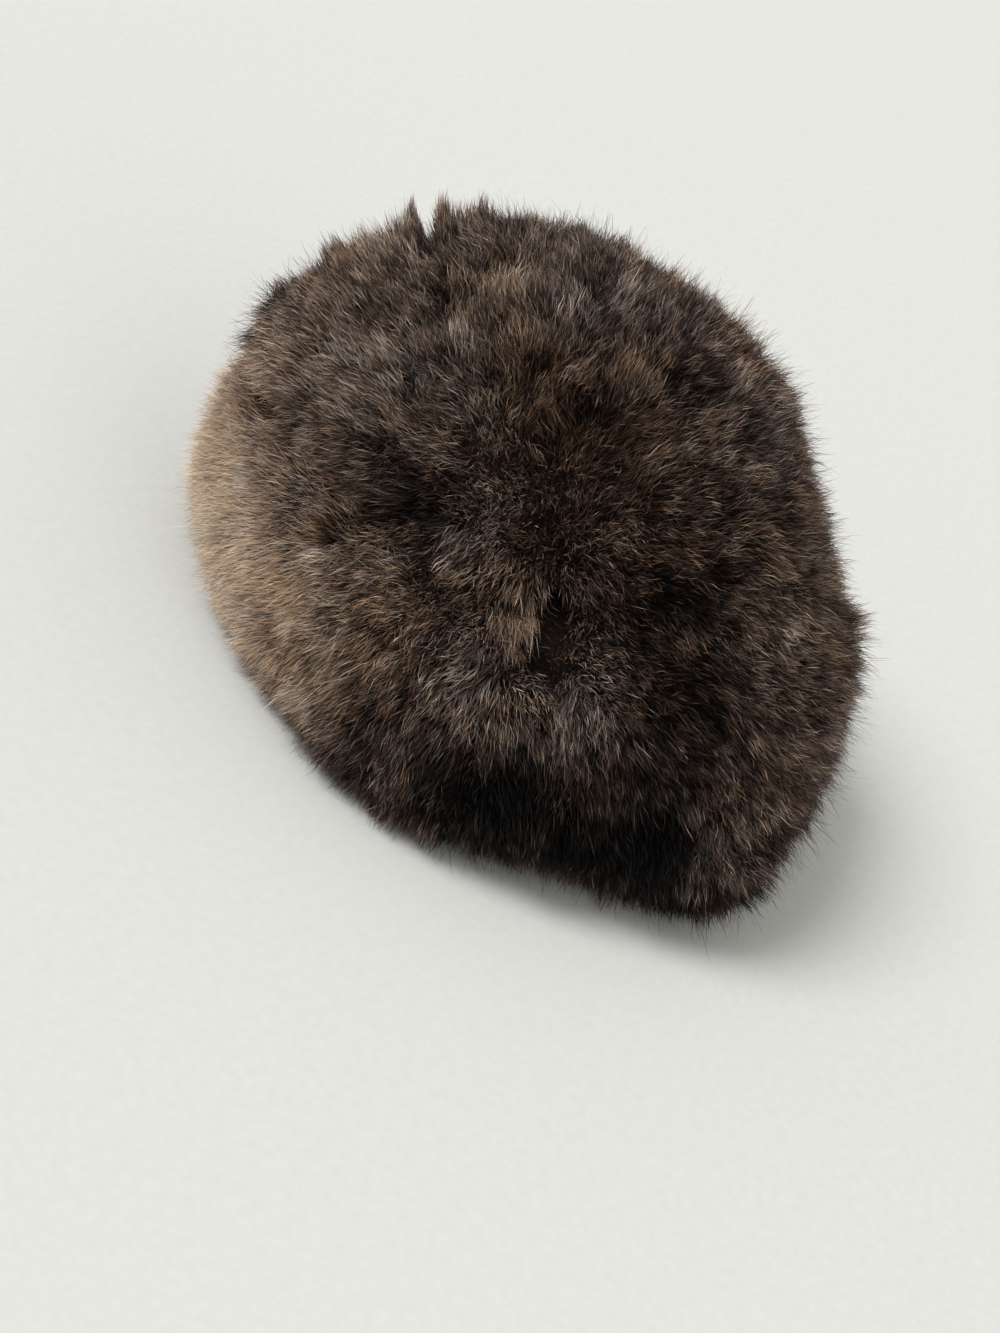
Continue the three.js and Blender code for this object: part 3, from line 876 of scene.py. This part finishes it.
# %% Looks of cover hair and guard hair
# Levels are the places along the hair where the ribbon has two points, each with its share of the width.
# Lengths are millimetres. Short is the least share of its length that a hair keeps by chance.
COVER = {
    "levels": [(0.72, 1.0)], "hairs": 61, "rise": -0.8, "rise_spread": 1.4,
    "spikes": 0.08, "spike_rise": 3.0, "lean": 5.6, "lock_tone": 0.06, "hair_tone": 0.12,
    "spread": 4.3, "gather": 0.42, "stray": 1.8, "short": 0.72, "bend": 0.9, "width": 0.21,
}
GUARD = {
    "levels": [(0.55, 1.0), (0.85, 0.75)], "hairs": 7, "rise": 3.6, "rise_spread": 2.8,
    "spikes": 0.0, "spike_rise": 0.0, "lean": 6.6, "lock_tone": 0.05, "hair_tone": 0.12,
    "spread": 8.0, "gather": 0.3, "stray": 2.0, "short": 0.8, "bend": 1.0, "width": 0.11,
}
COVER_LOCKS = 6500
GUARD_LOCKS = 5000
# No piece has more hairs than this, so that it stays under 200,000 triangles.
MOST_HAIRS = 99000
print("hair width, mm:", COVER["width"], GUARD["width"])

# %% Locks
# Shares by which the fawn front is calmer than the dark fur, in its form and in its hairs' tone.
FAWN_CALM = 0.6
FAWN_EVEN = 0.85
LEAN_SPREAD = 0.25


def set_locks(angle, climb, look):
    """The locks at the given spots. A lock is higher or lower by its tuft, the furrow between tufts, the
    relief and its own chance, less so on the fawn. Its tip is the spot, plus the rise along the skin's
    normal, plus the lie times the lean."""
    locks = len(angle)
    spot = fur_surface(angle, climb)
    normal = fur_normal(angle, climb)
    tuft, margin = nearest_tufts(spot)
    furrow = np.exp(-(margin / FURROW_WIDTH) ** 2)
    lie = comb_direction(spot, normal) + tuft_lie[tuft]
    lie -= (lie * normal).sum(-1, keepdims=True) * normal

    humps = add_waves(spot, hump_waves)
    runs = streaks(spot)
    uneven = tuft_rise[tuft] - FURROW_DEPTH * furrow + RELIEF_RISE * humps + STREAK_RISE * runs
    uneven += look["rise_spread"] * rng.standard_normal(locks)
    uneven += look["spike_rise"] * (rng.random(locks) < look["spikes"])
    calm = 1.0 - FAWN_CALM * fawn_share(spot)
    rise = look["rise"] + coat_length(spot) + uneven * calm
    tip = spot + normal * rise[:, None]
    tip += lie * look["lean"] * (1.0 + LEAN_SPREAD * rng.standard_normal((locks, 1)))
    # Lock tone: the tuft's own and chance, plus painted shade in the furrows and painted light and shade
    # with the relief and streaks.
    tone = tuft_tone[tuft] - FURROW_PAINTED_SHADE * furrow + look["lock_tone"] * rng.standard_normal(locks)
    tone += RELIEF_PAINTED_LIGHT * humps + STREAK_PAINTED_LIGHT * runs
    return {"spot": spot, "normal": normal, "lie": lie, "tip": tip, "tone": tone, "tuft": tuft,
            "gather": look["gather"] * calm}


# %% Shape of the hairs
# A parting as deep as the hair's depth plus this reach would take away the whole hair.
CUT_REACH = 2.0
SHORTEST_SHARE = 0.3
# Power of the chance that shortens a hair, below one for more long hairs than short ones.
LENGTH_ROUNDING = 0.7
# Share of its length after which a hair bends over, and the thinnest hair's share of the usual width.
STRAIGHT_SHARE = 0.68
THINNEST = 0.75
# Least height of a hair's points over the floor, and how much more it may be by chance.
FLOOR_GAP = (0.4, 1.6)


def cut_hairs(grows, tip, shape, look):
    """Share of its length that each hair keeps, by chance and by the partings at both its ends, and the
    partings' shift of tone, which is painted shade."""
    cut, cut_painted_shade = parting_cut(grows)
    tip_cut, tip_painted_shade = parting_cut(tip)
    cut, cut_painted_shade = np.maximum(cut, tip_cut), np.minimum(cut_painted_shade, tip_painted_shade)
    share = look["short"] + (1.0 - look["short"]) * rng.random(shape) ** LENGTH_ROUNDING
    return np.maximum(share - cut / (HAIR_DEPTH + CUT_REACH), SHORTEST_SHARE), cut_painted_shade


def shape_hairs(locks, look):
    """The root is the lock's spot moved along the skin by the hair's own offset and in by the depth. The
    tip is the lock's tip plus what is left of that offset. The centre line is a quadratic curve from
    root to tip that first follows the skin's normal. Two points at each level make it a ribbon."""
    normal = locks["normal"][:, None]
    forward = unit(locks["lie"])
    sideways = np.cross(locks["normal"], forward)
    shape = (len(normal), look["hairs"])
    reach = look["spread"] * np.sqrt(rng.random(shape))[..., None]
    bearing = 2 * np.pi * rng.random(shape)[..., None]
    offset = reach * (forward[:, None] * np.cos(bearing) + sideways[:, None] * np.sin(bearing))
    grows = locks["spot"][:, None] + offset
    root = grows - normal * HAIR_DEPTH
    tip = locks["tip"][:, None] + offset * (1.0 - locks["gather"][:, None, None])
    tip += look["stray"] * rng.standard_normal(shape + (3,))
    tip, tuft_shift = draw_together(grows, tip)
    share, cut_painted_shade = cut_hairs(grows, tip, shape, look)
    tip = root + (tip - root) * share[..., None]
    run = tip - root
    length = np.linalg.norm(run, axis=-1, keepdims=True)
    control = root + normal * length * STRAIGHT_SHARE + look["bend"] * rng.standard_normal(shape + (3,))

    flat = unit(np.cross(run, rng.standard_normal(shape + (3,))))
    thickness = THINNEST + 2.0 * (1.0 - THINNEST) * rng.random(shape)
    half = look["width"] * thickness[..., None] * 0.5
    rings = [root]
    for t, thick in look["levels"]:
        centre = (1 - t) ** 2 * root + 2 * t * (1 - t) * control + t * t * tip
        rings += [centre - flat * half * thick, centre + flat * half * thick]
    corners = np.stack(rings + [tip], -2)
    floor = FLOOR_GAP[0] + FLOOR_GAP[1] * rng.random(shape)[..., None]
    corners[..., 2] = np.maximum(corners[..., 2], floor)
    return grows, corners, cut_painted_shade + tuft_shift


# %% Map of the hairs
TONE_LIMITS = (0.02, 0.98)
# Half the width that a hair takes up on the map, and where its root starts and how far it runs up.
MAP_HALF_WIDTH = 0.005
MAP_ROOT = 0.02
MAP_RUN = 0.46


def map_hairs(grows, shift, locks, look):
    """Tone across and root to tip upwards, half the map higher for a grey hair. The tone is the place's
    own, plus the shift, which holds the partings' painted shade, plus the lock's and the hair's drift,
    which is small on the fawn; the lock's part also holds painted light and shade from furrows and relief."""
    shape = grows.shape[:-1]
    tone, grey, fawn = tone_at(grows)
    drift_and_painted_light = locks["tone"][:, None] + look["hair_tone"] * rng.standard_normal(shape)
    tone += shift + drift_and_painted_light * (1.0 - FAWN_EVEN * fawn)
    tone = np.clip(tone, *TONE_LIMITS)[..., None]
    is_grey = rng.random(shape) < grey + tuft_grey[locks["tuft"]][:, None]
    levels = [t for t, thick in look["levels"]]
    aside = MAP_HALF_WIDTH * np.array([0.0] + [-1.0, 1.0] * len(levels) + [0.0])
    along = np.concatenate([[0.0], np.repeat(levels, 2), [1.0]])
    across_map = tone + aside
    up_map = (MAP_ROOT + MAP_RUN * along) + 0.5 * is_grey[..., None]
    return np.stack([across_map, up_map + 0.0 * across_map], -1)


# %% Making hairs
def ribbon_steps(count):
    """Triangles of one hair with `count` points: one at the root, two for each band, one at the tip."""
    steps = [(0, 2, 1)]
    for k in range(1, count - 3, 2):
        steps += [(k, k + 1, k + 3), (k, k + 3, k + 2)]
    return np.array(steps + [(count - 3, count - 2, count - 1)])


def make_hairs(name, angle, climb, look):
    """One piece of hair: locks, the hairs in them, their map, and one mesh of all the ribbons."""
    locks = set_locks(angle, climb, look)
    grows, corners, shift = shape_hairs(locks, look)
    uv = map_hairs(grows, shift, locks, look)
    count = corners.shape[-2]
    hairs = len(angle) * look["hairs"]
    kept = np.linspace(0, hairs - 1, min(hairs, MOST_HAIRS)).astype(int)
    corners = corners.reshape(hairs, count, 3)[kept]
    uv = uv.reshape(hairs, count, 2)[kept]
    first = np.arange(len(kept))[:, None, None] * count
    triangles = (first + ribbon_steps(count)).reshape(-1, 3)
    piece = triangle_mesh(name, corners.reshape(-1, 3), triangles, hair_material, uv.reshape(-1, 2))
    print(name, "hairs:", len(kept), "triangles:", len(triangles))
    return piece


# %% Hair pieces
# The crown's hair is split at this x, and the band's front piece ends at this y.
CROWN_SPLIT = 10
FRONT_EDGE = -45
SECTORS = {
    "crown": [
        ("crown_fur_left", lambda p: p[:, 0] >= CROWN_SPLIT),
        ("crown_fur_right", lambda p: p[:, 0] < CROWN_SPLIT),
    ],
    "band": [
        ("band_fur_front", lambda p: p[:, 1] < FRONT_EDGE),
        ("band_fur_left", lambda p: (p[:, 1] >= FRONT_EDGE) & (p[:, 0] >= 0)),
        ("band_fur_right", lambda p: (p[:, 1] >= FRONT_EDGE) & (p[:, 0] < 0)),
    ],
}


def locks_of(node, count):
    """Angle, climb and points of the evenly spread locks that lie on one side of the seam."""
    angle, climb = spread_over_fur(count)
    spots = fur_surface(angle, climb)
    on_crown = spots[:, 2] > seam_plane(spots[:, 1])
    mine = on_crown if node == "crown" else ~on_crown
    return angle[mine], climb[mine], spots[mine]


def make_coat(node):
    """All hair of one solid: cover hair in sectors, and guard hairs over the whole of it."""
    angle, climb, spots = locks_of(node, COVER_LOCKS)
    pieces = []
    for name, inside in SECTORS[node]:
        mine = inside(spots)
        pieces.append(make_hairs(name, angle[mine], climb[mine], COVER))
    angle, climb, spots = locks_of(node, GUARD_LOCKS)
    return pieces + [make_hairs(node + "_guard_hair", angle, climb, GUARD)]


crown_pieces = [crown_pelt] + make_coat("crown")
band_pieces = [band_pelt] + make_coat("band")

# %% Tie every piece to the root body, and hide the solid that it dresses
for node, slot, pieces in (("crown", "crown_fur", crown_pieces), ("band", "band_fur", band_pieces)):
    for piece in pieces:
        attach(piece, "root")
        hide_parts(node)
print("pieces:", len(crown_pieces + band_pieces))

# %% [markdown]
# ## Floor, light and camera
# The hat stands on a plain pale floor, wide enough that its edge is far away. The light is soft: a
# pale sky about as bright as the lit floor, so the two almost meet, and broad daylight from above
# the front left of the hat, with a little from behind it. The camera looks at the back left of the
# hat from above and leans, which sets the hat aslant in the frame.

# %% Floor
FLOOR_HALF = 60.0
FLOOR_GRAIN_MM = 3.846
FLOOR_COLOURS = [(0.3, "#b3b3b0"), (0.7, "#b7b7b4")]


def make_floor():
    """One wide square with a faint grain."""
    material, tree = new_material("matt_paper_floor")
    place = add_node(tree, "ShaderNodeTexCoord")
    grain = add_node(tree, "ShaderNodeTexNoise", {"Vector": place.outputs["Object"],
                                                  "Scale": 1.0 / (FLOOR_GRAIN_MM * MM), "Detail": 3.0})
    colour = add_node(tree, "ShaderNodeValToRGB", {"Fac": grain.outputs["Fac"]})
    set_stops(colour, FLOOR_COLOURS)
    surface = add_node(tree, "ShaderNodeBsdfPrincipled", {
        "Base Color": colour.outputs["Color"], "Roughness": 0.9, "Specular IOR Level": 0.1})
    add_node(tree, "ShaderNodeOutputMaterial", {"Surface": surface.outputs["BSDF"]})
    mesh = bpy.data.meshes.new("floor")
    corners = [(x * FLOOR_HALF, y * FLOOR_HALF, 0) for x, y in ((-1, -1), (1, -1), (1, 1), (-1, 1))]
    mesh.from_pydata(corners, [], [(0, 1, 2, 3)])
    mesh.materials.append(material)
    floor = bpy.data.objects.new("floor", mesh)
    bpy.context.scene.collection.objects.link(floor)


make_floor()
print("floor, metres wide:", 2 * FLOOR_HALF)

# %% Camera
FRAME_WIDTH = 1000.0
FRAME_HEIGHT = 1333.0
SENSOR = 36.0
FOCAL_PIXELS = 2510.0
CAMERA_TURN = 125.0
CAMERA_CLIMB = 27.0
CAMERA_LEAN = 30.6
CAMERA_DISTANCE = 0.9
AIM = Vector((0.0, -0.0013, 0.080))
AIM_PIXEL = (573.4, 502.7)


def make_camera():
    """Looks from the given turn and climb, leans by the given angle, and then turns just enough to
    bring the aim point from the middle of the frame to its own pixel."""
    turn, climb = math.radians(CAMERA_TURN), math.radians(CAMERA_CLIMB)
    back = Vector((math.sin(turn) * math.cos(climb), -math.cos(turn) * math.cos(climb), math.sin(climb)))
    data = bpy.data.cameras.new("camera")
    data.sensor_width = SENSOR
    data.lens = FOCAL_PIXELS / FRAME_HEIGHT * SENSOR
    data.clip_start = 0.01
    data.clip_end = 300.0
    camera = bpy.data.objects.new("camera", data)
    bpy.context.scene.collection.objects.link(camera)
    look = (-back).to_track_quat("-Z", "Y") @ Quaternion((0, 0, 1), math.radians(CAMERA_LEAN))
    to_aim = Vector(((AIM_PIXEL[0] - FRAME_WIDTH / 2) / FOCAL_PIXELS,
                     (FRAME_HEIGHT / 2 - AIM_PIXEL[1]) / FOCAL_PIXELS, -1.0))
    look = look @ to_aim.rotation_difference(Vector((0, 0, -1)))
    camera.location = AIM + back * CAMERA_DISTANCE
    camera.rotation_mode = "QUATERNION"
    camera.rotation_quaternion = look
    bpy.context.scene.camera = camera
    return camera


camera = make_camera()
print("lens, mm:", round(camera.data.lens, 2))


# %% Light
def make_lamp(name, turn, climb, spread, power):
    """Daylight from one side: a far disc of light, as many degrees wide as the spread."""
    turn, climb = math.radians(turn), math.radians(climb)
    back = Vector((math.sin(turn) * math.cos(climb), -math.cos(turn) * math.cos(climb), math.sin(climb)))
    data = bpy.data.lights.new(name, "SUN")
    data.angle = math.radians(spread)
    data.energy = power
    lamp = bpy.data.objects.new(name, data)
    lamp.location = AIM + back
    lamp.rotation_mode = "QUATERNION"
    lamp.rotation_quaternion = (-back).to_track_quat("-Z", "Y")
    bpy.context.scene.collection.objects.link(lamp)


make_lamp("key_lamp", turn=62, climb=50, spread=28, power=3.5)
make_lamp("fill_lamp", turn=165, climb=30, spread=36, power=0.5)

SKY_COLOUR = "#f1f2ed"
SKY_STRENGTH = 0.92
world = bpy.data.worlds.new("sky")
bpy.context.scene.world = world
world.use_nodes = True
backdrop = world.node_tree.nodes["Background"]
backdrop.inputs["Color"].default_value = linear(SKY_COLOUR)
backdrop.inputs["Strength"].default_value = SKY_STRENGTH
bpy.context.scene.view_settings.view_transform = "Standard"
print("sky strength:", SKY_STRENGTH)
